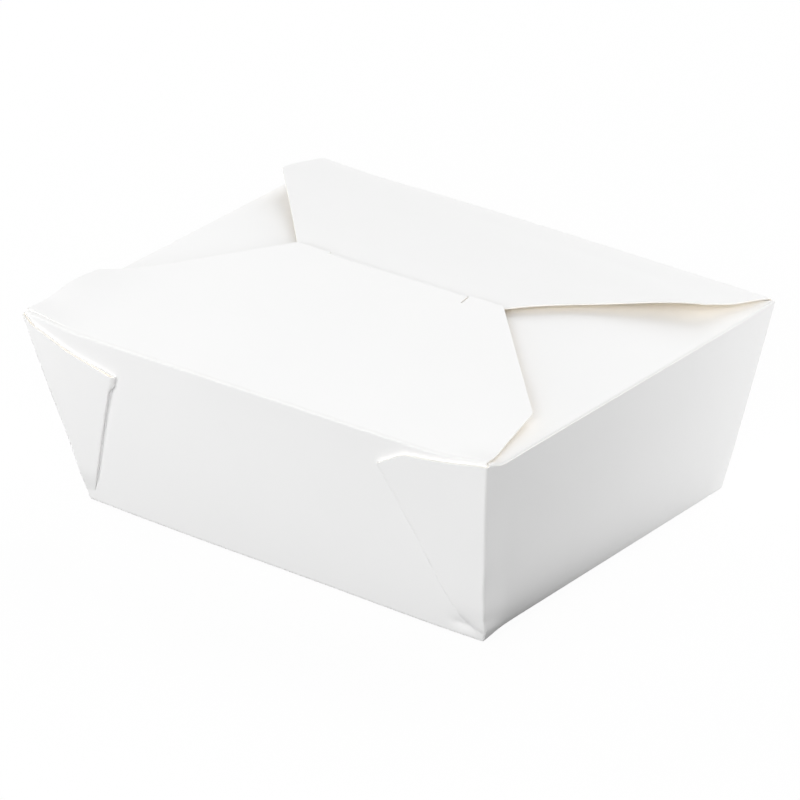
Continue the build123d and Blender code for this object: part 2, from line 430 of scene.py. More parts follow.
@dataclass
class BoardSheet:
    """A folded sheet: patches of its middle surface, welded where they meet and given the board's caliper.

    Attributes:
        board: Caliper of the board in millimetres.
        dents: Soft pushes that the folded sheet has taken.
        burr: Width of the small bevel along a cut edge.
        weld: Patches' points nearer than this become one.
        weld_shift: Shift of the welding lattice, which keeps shared points off its borders.
        sharp_angle: Edges that turn more than this stay sharp, in degrees.
        points: Points of each patch.
        quads: Cells of each patch.
        calipers: Caliper at each patch's points.
        folds: How creased the board is at each patch's points.
        count: Number of points so far.
    """

    board: float
    dents: tuple[Dent, ...] = ()
    burr: float = 0.05
    weld: float = 0.001
    weld_shift: float = 0.123
    sharp_angle: float = 38.0
    points: list[np.ndarray] = field(default_factory=list)
    quads: list[np.ndarray] = field(default_factory=list)
    calipers: list[np.ndarray] = field(default_factory=list)
    folds: list[np.ndarray] = field(default_factory=list)
    count: int = 0

    def add(
        self,
        points: np.ndarray,
        flip: bool = False,
        keep: np.ndarray | None = None,
        caliper: np.ndarray | float | None = None,
        fold: np.ndarray | float = 0.0,
    ) -> None:
        """Adds a grid of the middle surface, whose coated side faces rows x columns, or the other way.

        Args:
            points: Grid of points, rows by columns by 3.
            flip: Turns the coated side round.
            keep: Which cells are kept, one fewer than the points each way.
            caliper: Thickness at each point, or the board's own.
            fold: How creased the board is at each point, 0 to 1.
        """
        shape = points.shape[:2]
        index = np.arange(points.size // 3).reshape(shape) + self.count
        quads = grid_cells(index)[..., ::-1] if flip else grid_cells(index)
        self.quads.append(quads.reshape(-1, 4) if keep is None else quads[keep])
        self.points.append(points.reshape(-1, 3))
        thickness = self.board if caliper is None else caliper
        self.calipers.append(np.broadcast_to(thickness, shape).reshape(-1))
        self.folds.append(np.broadcast_to(fold, shape).reshape(-1))
        self.count += index.size

    def welded(self) -> tuple[np.ndarray, np.ndarray, np.ndarray, np.ndarray]:
        """Merges coincident points and drops the cells and points that are not used.

        Returns:
            Points, cells of four indices, and the caliper and fold at each point.
        """
        points = np.concatenate(self.points)
        keys = np.round(points / self.weld + self.weld_shift).astype(np.int64)
        _, first, inverse = np.unique(keys, axis=0, return_index=True, return_inverse=True)
        inverse = inverse.reshape(-1)
        quads = inverse[np.concatenate(self.quads)]
        same = (quads == np.roll(quads, -1, axis=1)).sum(axis=1)
        crossed = (quads[:, 0] == quads[:, 2]) | (quads[:, 1] == quads[:, 3])
        quads = quads[(same < 2) & ~crossed]
        used, compact = np.unique(quads, return_inverse=True)
        shared = np.bincount(inverse)
        caliper = np.bincount(inverse, np.concatenate(self.calipers)) / shared
        fold = np.bincount(inverse, np.concatenate(self.folds)) / shared
        return points[first][used], compact.reshape(-1, 4), caliper[used], fold[used]

    @staticmethod
    def normals(points: np.ndarray, quads: np.ndarray) -> np.ndarray:
        """Normal at each point: the sum over its cells of the cross product of their diagonals.

        Args:
            points: Points of the middle surface.
            quads: Its cells.

        Returns:
            The normals at a length of one.
        """
        a, b, c, d = points[quads].transpose(1, 0, 2)
        normal = np.zeros_like(points)
        np.add.at(normal, quads.reshape(-1), np.repeat(np.cross(c - a, d - b), 4, axis=0))
        return unit(normal)

    @staticmethod
    def open_edges(quads: np.ndarray) -> tuple[np.ndarray, np.ndarray]:
        """Edges that no other cell shares.

        Args:
            quads: Cells of the middle surface.

        Returns:
            The first and second point of each edge.
        """
        a, b = quads.reshape(-1), np.roll(quads, -1, axis=1).reshape(-1)
        a, b = a[a != b], b[a != b]
        total = quads.max() + 1
        alone = ~np.isin(a * total + b, b * total + a)
        return a[alone], b[alone]

    def build(self, name: str, finishes: BoardFinishes) -> bpy.types.Object:
        """Gives the welded middle surface its thickness and cut edges.

        Each point moves half a caliper either way along its normal; each open edge gets three strips, the
        outer two of them the burr's bevel.

        Args:
            name: Name of the piece.
            finishes: The skins of the board.

        Returns:
            The finished piece.
        """
        points, quads, caliper, fold = self.welded()
        for dent in self.dents:
            points = dent.moved(points)
        total = len(points)
        normal = self.normals(points, quads)
        a, b = self.open_edges(quads)
        out = unit(np.cross(points[b] - points[a], normal[a] + normal[b]))
        outward = np.zeros_like(points)
        np.add.at(outward, a, out)
        np.add.at(outward, b, out)
        rim = np.unique(np.concatenate([a, b]))
        edge_out = unit(outward[rim])

        half = 0.5 * caliper[:, None]
        side = half[rim] - self.burr
        middle = points[rim] + edge_out * self.burr
        skins = [points + normal * half, points - normal * half]
        bevels = [middle + normal[rim] * side, middle - normal[rim] * side]
        vertices = np.concatenate(skins + bevels)
        rim_index = np.full(total, -1)
        rim_index[rim] = np.arange(len(rim)) + 2 * total
        upper = rim_index[a], rim_index[b]
        lower = upper[0] + len(rim), upper[1] + len(rim)
        levels = [(a, b), upper, lower, (a + total, b + total)]
        strips = [np.stack([*over[::-1], *under], axis=1) for over, under in zip(levels, levels[1:])]
        cells = np.concatenate([quads, quads[:, ::-1] + total, *strips])
        slots = np.repeat([side.value for side in Side], [len(quads), len(quads), 3 * len(a)])

        mesh = new_mesh(name, vertices * MILLIMETRE, cells)
        mesh.polygons.foreach_set("material_index", slots.astype(np.int32))
        mesh.polygons.foreach_set("use_smooth", np.ones(len(slots), dtype=bool))
        mesh.set_sharp_from_angle(angle=math.radians(self.sharp_angle))
        # The fold attribute mixes in the fold colour: crease wear and painted shade.
        creased = mesh.attributes.new("fold", "FLOAT", "POINT")
        crease_wear_and_shade = np.concatenate([fold, fold, fold[rim], fold[rim]])
        creased.data.foreach_set("value", crease_wear_and_shade.astype(np.float32))
        for material in finishes.materials():
            mesh.materials.append(material)
        mesh.update()
        LOG.info("%s: %d points, %d faces", name, len(vertices), len(cells))
        return put_in_scene(name, mesh)


@dataclass
class CartonSizes:
    """Driving sizes of the carton in millimetres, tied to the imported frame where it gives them.

    Attributes:
        board: Caliper of the board.
        base_length: Outside length of the base.
        base_width: Outside width of the base.
        base_bend: Bend radius of the middle surface where the walls leave the base.
        crease: How far a rounded crease reaches from its fold line along each panel.
        crease_rod: Outer radius of the crushed crease on the solid's rim.
        end_fold_drop: How far the end flaps' fold lies below the lid flaps'.
        foot: Height over which the gussets' plies grow from the base's corners.
        dents: The lifted rim at both front corners, along the back and at its left, the straightened corner
            nearest to the camera, the pressed left corner, and the crushed foot with its crumple.
        fold_long: Distance of the lid flaps' fold lines from the middle.
        fold_end: Distance of the end flaps' fold lines from the middle.
        height: Height of the lid flaps' fold lines.
    """

    board: float = 0.45
    base_length: float = 152.0
    base_width: float = 118.0
    base_bend: float = 0.675
    crease: float = 0.4
    crease_rod: float = 0.3375
    end_fold_drop: float = 0.45
    foot: float = 12.0
    dents: tuple[Dent, ...] = (
        Dent((87.9, -70.3, 62.0), (0.0, 0.0, 2.3), (12.0, 5.0, 16.0)),
        Dent((87.9, -70.3, 62.0), (1.0, 0.0, 0.0), (8.0, 8.0, 45.0)),
        Dent((-87.9, -70.3, 62.0), (-0.8, 0.0, 1.9), (12.0, 7.0, 16.0)),
        Dent((-25.0, 70.0, 62.0), (0.0, 0.0, 1.5), (90.0, 12.0, 16.0)),
        Dent((-87.9, 70.0, 62.0), (0.0, 0.0, 1.1), (14.0, 8.0, 16.0)),
        Dent((80.6, -63.4, 22.0), (1.7, 0.0, 0.0), (8.0, 8.0, 22.0)),
        Dent((77.5, -62.5, 9.0), (1.6, 0.0, 0.0), (8.0, 8.0, 8.0)),
        Dent((-79.5, -62.0, 20.0), (0.9, 0.0, 0.0), (10.0, 10.0, 18.0)),
        Dent((76.0, -59.0, 0.2), (1.2, 0.0, 0.0), (6.0, 6.0, 5.0)),
        Dent((76.0, -59.0, 0.2), (0.0, -2.3, 0.0), (45.0, 12.0, 38.0)),
        Dent((71.5, -61.0, 4.2), (0.0, 0.9, 0.0), (2.6, 5.0, 1.5)),
        Dent((76.5, -61.0, 5.0), (1.5, -0.4, 0.0), (3.0, 4.0, 2.4)),
    )
    fold_long: float = field(init=False)
    fold_end: float = field(init=False)
    height: float = field(init=False)

    def __post_init__(self) -> None:
        """Takes the fold lines from the hinge and from the carton node's box."""
        hinge = frame["record"]["behaviour"]["joints"][0]["pos_m"]
        self.fold_long = -hinge[1] / MILLIMETRE
        self.height = hinge[2] / MILLIMETRE
        self.fold_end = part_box("carton")[1][0] / MILLIMETRE - self.crease_rod

    @property
    def end_height(self) -> float:
        """Height of the end flaps' fold, one caliper under the lid's so that they lie beneath it."""
        return self.height - self.end_fold_drop

    @property
    def long_wall(self) -> "WallLine":
        """Section of the front and back walls."""
        return WallLine(self, self.base_width / 2, self.fold_long, self.height)

    @property
    def end_wall(self) -> "WallLine":
        """Section of the two end walls."""
        return WallLine(self, self.base_length / 2, self.fold_end, self.end_height)


@dataclass(frozen=True)
class WallLine:
    """Middle line of a wall in section, as a function of t: 0 at the base's edge, 1 at the rim's crease.

    Attributes:
        sizes: The carton's sizes.
        outer_half: Half of the base's outside size.
        fold: Distance of the rim's fold line from the middle.
        height: Height of the fold line.
        bend_share: Share of t that the bend at the base takes.
    """

    sizes: CartonSizes
    outer_half: float
    fold: float
    height: float
    bend_share: float = 0.05

    @property
    def lean(self) -> float:
        """How far the wall leans outwards, in radians."""
        half_skin = 0.5 * self.sizes.board
        lean = math.atan((self.fold - self.outer_half) / self.height)
        return math.atan((self.fold - self.outer_half + half_skin / math.cos(lean)) / self.height)

    @property
    def start(self) -> float:
        """Distance from the middle at which the bend begins."""
        return self.at(np.zeros(1))[0][0]

    def at(self, t: np.ndarray) -> tuple[np.ndarray, np.ndarray]:
        """Distance from the middle and height: an arc of the bend radius, then a straight run to the crease.

        Args:
            t: Places along the section.

        Returns:
            The distance from the middle and the height at each place.
        """
        lean, bend = self.lean, self.sizes.base_bend
        centre_z = 0.5 * self.sizes.board + bend
        drop = self.height - centre_z
        centre = self.fold - drop * math.tan(lean) - bend / math.cos(lean)
        turn = -math.pi / 2 + np.clip(t / self.bend_share, 0.0, 1.0) * (math.pi / 2 - lean)
        share = np.clip((t - self.bend_share) / (1.0 - self.bend_share), 0.0, 1.0)
        end_out = self.fold - self.sizes.crease * math.sin(lean)
        end_z = self.height - self.sizes.crease * math.cos(lean)
        out, z = centre + bend * np.cos(turn), centre_z + bend * np.sin(turn)
        run_out = centre + bend * math.cos(lean)
        run_z = centre_z - bend * math.sin(lean)
        return out + share * (end_out - run_out), z + share * (end_z - run_z)


@dataclass(frozen=True)
class LidSizes:
    """Outlines of the flaps in millimetres, in the order root, shoulder, free edge.

    Attributes:
        root_half: Half length of a lid flap at its root.
        shoulder_half: Half length at the shoulder.
        edge_half: Half length at the free edge.
        shoulder_reach: Shoulder's place along the front flap.
        edge_reach: Length of the front flap.
        slope: Rise of the front flap in degrees.
        root_reach: Where the front flap's piece begins, behind the fold.
        corner_radius: Radius of the front flap's far corners.
        slit_half: Half length of the slit in the back flap.
        slit_near: Front edge of the slit, along Y.
        slit_far: Back edge of the slit, along Y.
        end_root_half: Half width of an end flap at its root.
        end_slope: Rise of an end flap in degrees.
        end_length: Length of an end flap.
        end_draw: How much each side of an end flap draws in per length.
        end_radius: Radius of an end flap's far corners.
        back_shoulder: Shoulder's place on the back flap, along Y.
        tail: How far the back flap runs on under the front flap.
        tail_half: Half length of the tail's end.
        lay_gap: Room between the front flap and the tail under it.
    """

    root_half: float = 86.4
    shoulder_half: float = 81.7
    edge_half: float = 39.28
    shoulder_reach: float = 29.5
    edge_reach: float = 71.1
    slope: float = 9.25
    root_reach: float = 1.1
    corner_radius: float = 1.5
    slit_half: float = 26.92
    slit_near: float = -0.52
    slit_far: float = 0.62
    end_root_half: float = 70.2
    end_slope: float = 7.0
    end_length: float = 60.0
    end_draw: float = 0.84
    end_radius: float = 6.0
    back_shoulder: float = 43.8
    tail: float = 13.0
    tail_half: float = 27.06
    lay_gap: float = 0.4


@dataclass
class Tray:
    """The base, the four walls and the rows and columns that every neighbour shares.

    Attributes:
        sizes: The carton's sizes.
        lid: The flaps' outlines.
        row_breaks: Places up the walls where the rows' steps change.
        edge_back: How far the long walls' side edges stand back from the end walls, to clear their own fold.
        ply_offset: Distance of the gusset's outer ply from the long wall, middle to middle.
        corner_radius: Bend radius where the outer ply turns into the end wall.
        base_bow: How far the front wall's foot bows outwards at mid length.
        foot_bulge: How far the right end wall bulges over its foot, most near the front.
        foot_rise: Height at which it bulges most.
        bulge_ends: Shares of the half width over which the bulge dies away, in front and behind.
        bulge_fade: How much of it is lost per half width from the front to the back.
    """

    sizes: CartonSizes
    lid: LidSizes
    row_breaks: tuple[float, float] = (0.12, 0.82)
    edge_back: float = 0.85
    ply_offset: float = 0.98
    corner_radius: float = 0.7
    base_bow: float = 1.5
    foot_bulge: float = 3.8
    foot_rise: float = 12.0
    bulge_ends: tuple[float, float] = (0.12, 0.25)
    bulge_fade: float = 0.4

    def rows(self) -> np.ndarray:
        """Places up the walls: short steps round the bend, longer ones up the wall."""
        bend, (low, high) = self.sizes.long_wall.bend_share, self.row_breaks
        return stations((0.0, bend, 6), (bend, low, 6), (low, high, 26), (high, 1.0, 12))

    def stack_share(self, z: np.ndarray) -> np.ndarray:
        """How much of the gusset's stack has grown at a height over the base."""
        return ease(z / self.sizes.foot)

    def long_edge(self, t: np.ndarray) -> np.ndarray:
        """Half length of the long walls at t, up to their side edge."""
        out, z = self.sizes.end_wall.at(t)
        return out - self.edge_back * self.stack_share(z)

    def end_edge(self, t: np.ndarray) -> np.ndarray:
        """Half width of the end walls at t, up to the bend into the gusset."""
        out, z = self.sizes.long_wall.at(t)
        return out + (self.ply_offset - self.corner_radius) * self.stack_share(z)

    def long_columns(self) -> np.ndarray:
        """Places along the rim at which the long walls and the back flap have columns."""
        slit, root, far = self.lid.slit_half, self.lid.root_half, self.long_edge(RIM)[0]
        return mirrored(stations((0.0, slit, 14), (slit, root, 24), (root, far, 2)))

    def end_columns(self) -> np.ndarray:
        """Places along the rim at which the end walls and the end flaps have columns."""
        root, far = self.lid.end_root_half, self.end_edge(RIM)[0]
        return mirrored(stations((0.0, root, 24), (root, far, 4)))

    def long_shares(self) -> np.ndarray:
        """The long columns as shares of the half length."""
        return self.long_columns() / self.long_edge(RIM)

    def end_shares(self) -> np.ndarray:
        """The end columns as shares of the half width."""
        return self.end_columns() / self.end_edge(RIM)

    def front_bow(self, u: np.ndarray, t: np.ndarray) -> np.ndarray:
        """Outward bow of the front wall: a parabola along the base edge that fades out up the wall."""
        return self.base_bow * (1.0 - u**2) * (1.0 - ease(t))

    def end_bulge(self, v: np.ndarray, z: np.ndarray) -> np.ndarray:
        """Bulge of the end wall over its soft foot: (z/rise) exp(1 - z/rise), nought at both corners.

        Args:
            v: Shares of the half width, -1 at the front.
            z: Heights.

        Returns:
            The outward bulge at each place.
        """
        front, back = self.bulge_ends
        along = ease((v + 1.0) / front) * ease((1.0 - v) / back) * (1.0 - self.bulge_fade * (v + 1.0))
        share = z / self.foot_rise
        return self.foot_bulge * along * share * np.exp(1.0 - share)

    def long_wall_points(self, sign: int) -> np.ndarray:
        """Grid of the front or back wall: rows up the section, columns along X.

        Args:
            sign: -1 for the front wall, 1 for the back wall.

        Returns:
            Points of the middle surface.
        """
        t, u = self.rows()[:, None], self.long_shares()[None, :]
        out, z = self.sizes.long_wall.at(t)
        bow = self.front_bow(u, t) if sign < 0 else 0.0
        return grid(u * self.long_edge(t), sign * (out + bow), z)

    def end_wall_points(self, sign: int) -> np.ndarray:
        """Grid of the left or right end wall: rows up the section, columns along Y.

        Args:
            sign: -1 for the left wall, 1 for the right wall.

        Returns:
            Points of the middle surface.
        """
        t, v = self.rows()[:, None], self.end_shares()[None, :]
        out, z = self.sizes.end_wall.at(t)
        bulge = self.end_bulge(v, z) if sign > 0 else 0.0
        return grid(sign * (out + bulge), v * self.end_edge(t), z)

    def base_points(self) -> np.ndarray:
        """Flat grid of the base between the bends; its front edge carries the front wall's bow."""
        u, v = self.long_shares()[None, :], self.end_shares()[:, None]
        bow = self.front_bow(u, np.zeros((1, 1))) * ease(-v)
        x, y = u * self.sizes.end_wall.start, v * self.sizes.long_wall.start - bow
        return grid(x, y, 0.5 * self.sizes.board)

    def build(self, sheet: BoardSheet) -> None:
        """Adds the base and walls to the sheet.

        Args:
            sheet: The folded sheet.
        """
        sheet.add(self.base_points())
        for sign in (-1, 1):
            sheet.add(self.long_wall_points(sign), flip=sign < 0)
            sheet.add(self.end_wall_points(sign), flip=sign > 0)


@dataclass
class Gusset:
    """Corner web, pinched in two plies and folded flat on the long wall.

    Its section at each height runs from the long wall's edge round a tight fold, along the inner ply to the
    web's fold, back along the outer ply and round the corner into the end wall.

    Attributes:
        tray: The tray that it joins.
        corner: Which corner it stands at.
        tip: Distance of the fold's tip from the carton's middle, along the wall.
        drops: How far the cut edge lies below the rim, at shares of the ply from the corner to the fold.
        stand_off: How far the fold springs off the wall at its tip.
        spring: Power of the share by which the ply springs off towards its fold.
        nose: How far the crushed tip of the fold stands out past its line.
        nose_run: Where the crush begins, as a share of the fold's height, and over what share it grows.
        inner_offset: Distance of the inner ply from the long wall, middle to middle.
        thin: Least caliper, as a share of the board's, where the plies run out at the foot.
        fold_wear_and_shade: How much fold colour, partly wear and partly painted shade, the web's fold and
            the corner's bend take.
        leg_steps: Number of columns on each leg of the section.
    """

    tray: Tray
    corner: Corner
    tip: float = 52.5
    drops: tuple[tuple[float, float], ...] = ((0.0, 0.9), (0.35, 3.6), (0.7, 7.0), (1.0, 11.0))
    stand_off: float = 0.35
    spring: float = 1.5
    nose: float = 0.0
    nose_run: tuple[float, float] = (0.88, 0.05)
    inner_offset: float = 0.48
    thin: float = 0.2
    fold_wear_and_shade: tuple[float, float] = (0.8, 0.6)
    leg_steps: tuple[int, ...] = (8, 14, 12, 24, 8)

    def drop(self, share: np.ndarray) -> np.ndarray:
        """Depth of the cut edge below the rim at a share of the ply, by straight runs between the drops."""
        places, depths = np.array(self.drops).T
        return np.interp(share, places, depths)

    def columns(self) -> tuple[np.ndarray, np.ndarray, np.ndarray, np.ndarray]:
        """Parameters of every column across the web.

        Returns:
            The leg that each column is on, its place on that leg, its share of the ply from the corner to
            the fold, and the cut edge's drop below the rim.
        """
        leg = np.concatenate([[Leg.EDGE_FOLD], np.repeat(list(Leg), self.leg_steps)])
        place = stations(*((0.0, 1.0, count) for count in self.leg_steps))
        on = [leg == kind for kind in (Leg.INNER_PLY, Leg.WEB_FOLD, Leg.OUTER_PLY)]
        share = np.select(on, [place, np.ones_like(place), 1.0 - place], 0.0)
        grown = np.select([leg == Leg.EDGE_FOLD, leg == Leg.CORNER_BEND], [place, 1.0 - place], 1.0)
        return leg, place, share, self.drop(share) * grown

    def build(self, sheet: BoardSheet) -> None:
        """Adds the web: rows up to the cut edge, columns across the plies.

        On each leg, along is the distance from the carton's middle and off the distance from the long wall:
        half circles at the two folds, straight runs on the plies and a quarter circle at the corner.

        Args:
            sheet: The folded sheet.
        """
        tray, sizes = self.tray, self.tray.sizes
        leg, place, share, drop = (row[None, :] for row in self.columns())
        t = tray.rows()[:, None] * (1.0 - drop / sizes.height)
        out_long, z_long = sizes.long_wall.at(t)
        out_end, z_end = sizes.end_wall.at(t)
        grown = tray.stack_share(z_long)
        up = t / (1.0 - self.drop(RIM)[0] / sizes.height)
        crush_start, crush_run = self.nose_run
        crushed = self.nose * ease((up - crush_start) / crush_run)
        foot_x = sizes.end_wall.start
        fold_x = foot_x + (self.tip - foot_x) * up
        edge_x = out_end - tray.edge_back * grown
        radius = tray.corner_radius * grown
        corner_x = out_end - radius
        lift = self.stand_off * share**self.spring * up
        inner, outer = self.inner_offset * grown, tray.ply_offset * grown
        between = 0.5 * (outer - inner)
        turn, bend = math.pi * (place - 0.5), 0.5 * math.pi * (1.0 - place)
        on = [leg == kind for kind in Leg]
        along = [
            edge_x + 0.5 * inner * np.cos(turn),
            edge_x + (fold_x - crushed - edge_x) * place,
            fold_x - crushed * (1.0 - place) - between * np.cos(turn),
            fold_x + (corner_x - fold_x) * place,
            corner_x + radius * np.cos(bend),
        ]
        off = [
            0.5 * inner * (1.0 + np.sin(turn)),
            inner + lift,
            inner + between * (1.0 + np.sin(turn)) + lift,
            outer + lift,
            outer - radius * (1.0 - np.sin(bend)),
        ]
        z = np.where(leg == Leg.CORNER_BEND, z_long + (z_end - z_long) * place, z_long)
        sign_x, sign_y = self.corner.value
        points = grid(sign_x * np.select(on, along), sign_y * (out_long + np.select(on, off)), z)
        caliper = sizes.board * np.maximum(grown, self.thin)
        # The web's fold and the corner's bend take the darker fold colour: wear and painted shade.
        leg_wear_and_shade = np.select([leg == Leg.WEB_FOLD, leg == Leg.CORNER_BEND], self.fold_wear_and_shade, 0.0)
        crease_wear_and_shade = leg_wear_and_shade * np.sin(math.pi * place)
        sheet.add(points, flip=sign_x * sign_y < 0, caliper=caliper, fold=crease_wear_and_shade)


@dataclass
class EndFlap:
    """Tapering flap that folds in first from an end wall, with rounded far corners.

    Attributes:
        tray: The tray that it joins.
        sign: -1 for the left flap, 1 for the right flap.
        crown: How far the middle of the flap springs up towards the lid at its far edge.
        bulge: How far it bows up further at half its length.
        back_lean: How much more it springs up behind than in front, as a share.
        tuck: How far its two sides dip to pass under the lid.
        tuck_start: Share of the half width at which they begin to dip.
    """

    tray: Tray
    sign: int
    crown: float = 1.2
    bulge: float = 3.0
    back_lean: float = 0.5
    tuck: float = 0.3
    tuck_start: float = 0.8

    def spring(self, s: np.ndarray, share: np.ndarray) -> np.ndarray:
        """How far the flap stands over its sloping plane.

        Along the flap it is a quarter sine wave for the crown and half a wave for the bulge, and across it a
        parabola that leans to the back; the sides dip by a smooth step.

        Args:
            s: Distances from the fold.
            share: Shares of the half width, -1 in front.

        Returns:
            The height over the plane at each place.
        """
        turn = math.pi * s / self.tray.lid.end_length
        rise = self.crown * np.sin(0.5 * turn) + self.bulge * np.sin(turn)
        dip = ease((np.abs(share) - self.tuck_start) / (1.0 - self.tuck_start))
        return rise * (1.0 - share**2) * (1.0 + self.back_lean * share) - self.tuck * dip

    def build(self, sheet: BoardSheet) -> None:
        """Adds the flap: the crease's rows, then rows along the sloping flap; columns along Y.

        Args:
            sheet: The folded sheet.
        """
        sizes, lid = self.tray.sizes, self.tray.lid
        rim = self.tray.end_columns()
        rim = rim[np.abs(rim) < lid.end_root_half + TINY]
        share = rim[None, :] / lid.end_root_half
        slope = math.radians(lid.end_slope)
        round_start = lid.end_length - lid.end_radius
        s = stations((sizes.crease, round_start, 26), (round_start, lid.end_length, 12))[:, None]
        half = rounded_half(s, lid.end_root_half, lid.end_draw, lid.end_length, lid.end_radius)
        height = sizes.end_height + s * math.sin(slope) + self.spring(s, share)
        flap = grid(self.sign * (sizes.fold_end - s * math.cos(slope)), share * half, height)
        out, z = sizes.end_wall.at(RIM)
        start = grid(self.sign * out[0], rim, z[0])
        fold = grid(self.sign * sizes.fold_end, rim, sizes.end_height)
        points, crease_wear_and_shade = creased_flap(start, fold, flap)
        sheet.add(points, flip=self.sign > 0, fold=crease_wear_and_shade)


@dataclass
class BackFlap:
    """Bowed back lid flap, whose tail runs on under the front flap and holds the slit for its tongue.

    Attributes:
        tray: The tray that it joins.
        places: Places of the given heights, as shares of the half width.
        left_rise: Heights over the rim along the left end.
        right_rise: Heights over the rim along the right end.
    """

    tray: Tray
    places: tuple[float, ...] = (0.88, 0.785, 0.63, 0.48, 0.30)
    left_rise: tuple[float, ...] = (4.0, 6.7, 9.5, 10.6, 11.3)
    right_rise: tuple[float, ...] = (2.0, 3.4, 6.9, 8.8, 9.6)

    def end_line(self, rises: tuple[float, ...], y: np.ndarray) -> np.ndarray:
        """Height of one end over the rim: a natural spline from the fold down under the front flap.

        Args:
            rises: Heights at the given places.
            y: Places across the carton.

        Returns:
            The height at each place.
        """
        sizes, lid = self.tray.sizes, self.tray.lid
        slope = math.radians(lid.slope)
        below = np.array([-lid.tail - 1.0, -lid.tail / 2, 0.0])
        lain = (below + sizes.fold_long) * math.tan(slope) - (sizes.board + lid.lay_gap) / math.cos(slope)
        knots = np.concatenate([below, np.array(self.places[::-1]) * sizes.fold_long, [sizes.fold_long]])
        heights = np.concatenate([lain, rises[::-1], [0.0]])
        return natural_spline(knots, heights, y)

    def build(self, sheet: BoardSheet) -> None:
        """Adds the flap: the crease's rows, then rows across the flap; columns along X.

        The height is drawn straight between the two end lines, and the slit's cells are left out.

        Args:
            sheet: The folded sheet.
        """
        sizes, lid = self.tray.sizes, self.tray.lid
        rim = self.tray.long_columns()
        rim = rim[np.abs(rim) < lid.root_half + TINY]
        y = stations(
            (sizes.fold_long - sizes.crease, lid.back_shoulder, 24),
            (lid.back_shoulder, lid.slit_far, 36),
            (lid.slit_far, lid.slit_near, 1),
            (lid.slit_near, -lid.tail, 10),
        )[:, None]
        outline = np.array([-lid.tail, 0.0, lid.back_shoulder, sizes.fold_long])
        half = np.interp(y, outline, [lid.tail_half, lid.edge_half, lid.shoulder_half, lid.root_half])
        spread = (np.abs(rim) - lid.slit_half) / (lid.root_half - lid.slit_half)
        outer = np.sign(rim) * (lid.slit_half + spread * (half - lid.slit_half))
        x = np.where(spread > 0.0, outer, rim)
        left, right = self.end_line(self.left_rise, y), self.end_line(self.right_rise, y)
        far = sizes.fold_end + sizes.board
        share = (x + far) / (2.0 * far)
        flap = grid(x, y, sizes.height + left * (1.0 - share) + right * share)
        out, z = sizes.long_wall.at(RIM)
        start, fold = grid(rim, out[0], z[0]), grid(rim, sizes.fold_long, sizes.height)
        points, crease_wear_and_shade = creased_flap(start, fold, flap)
        row_middle = 0.5 * (points[1:, :-1, 1] + points[:-1, :-1, 1])
        column_middle = 0.5 * (rim[1:] + rim[:-1])
        in_slit = (row_middle < lid.slit_far) & (row_middle > lid.slit_near)
        sheet.add(points, keep=~(in_slit & (np.abs(column_middle) < lid.slit_half)), fold=crease_wear_and_shade)


@dataclass
class CartonSheet:
    """The folded sheet: tray, four gussets, two end flaps and the back flap.

    Attributes:
        sizes: The carton's sizes.
        lid: The flaps' outlines.
        finishes: The skins of the board.
    """

    sizes: CartonSizes
    lid: LidSizes
    finishes: BoardFinishes

    def build(self) -> bpy.types.Object:
        """Builds the sheet as one piece that stands for the carton node.

        Returns:
            The finished piece.
        """
        sheet = BoardSheet(self.sizes.board, self.sizes.dents)
        tray = Tray(self.sizes, self.lid)
        tray.build(sheet)
        near_right = ((0.0, 0.7), (0.35, 1.6), (0.68, 3.2), (0.81, 5.6), (1.0, 9.0))
        near_left = ((0.0, 0.6), (0.05, 2.9), (0.45, 7.0), (1.0, 10.4))
        Gusset(tray, Corner.FRONT_RIGHT, tip=47.0, drops=near_right, stand_off=0.1).build(sheet)
        Gusset(tray, Corner.FRONT_LEFT, tip=55.5, drops=near_left, stand_off=0.35, nose=1.6).build(sheet)
        Gusset(tray, Corner.BACK_LEFT).build(sheet)
        Gusset(tray, Corner.BACK_RIGHT).build(sheet)
        for sign in (-1, 1):
            EndFlap(tray, sign).build(sheet)
        BackFlap(tray).build(sheet)
        piece = sheet.build("carton_sheet", self.finishes)
        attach(piece, "carton")
        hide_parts("carton")
        return piece


